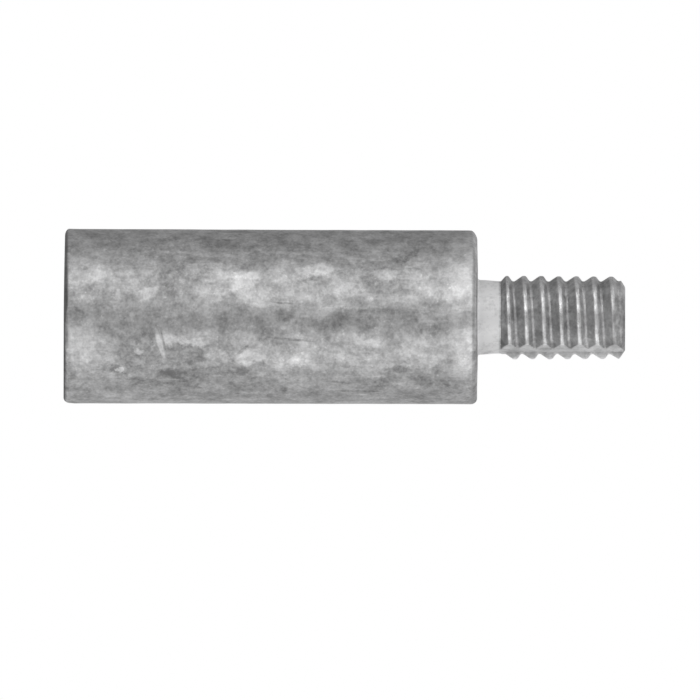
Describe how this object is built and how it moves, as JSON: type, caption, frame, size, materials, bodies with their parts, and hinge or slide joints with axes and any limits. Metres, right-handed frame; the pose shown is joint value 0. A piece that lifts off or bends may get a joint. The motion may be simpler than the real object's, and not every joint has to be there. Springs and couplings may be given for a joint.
{
  "type": "sacrificial anode",
  "caption": "Pencil-shaped sacrificial anode: a plain round zinc body with a short neck and a coarse threaded stud, all cast in one piece.",
  "frame": {"origin": "centre of the flat end face of the body, which the anode stands on", "axes": "+Z along the anode's axis, from the end face to the tip of the threaded stud; +X lies 17.2 degrees from the outward normal of the stud's cast flat, turned from that normal towards +Y"},
  "size_m": [0.0126, 0.0126, 0.0408],
  "materials": {
    "cast_zinc": "bare die-cast zinc, dull and mottled light grey, with faint dark stains and flow marks"
  },
  "bodies": {
    "root": {"pencil_anode": "cast_zinc"}
  },
  "joints": []
}
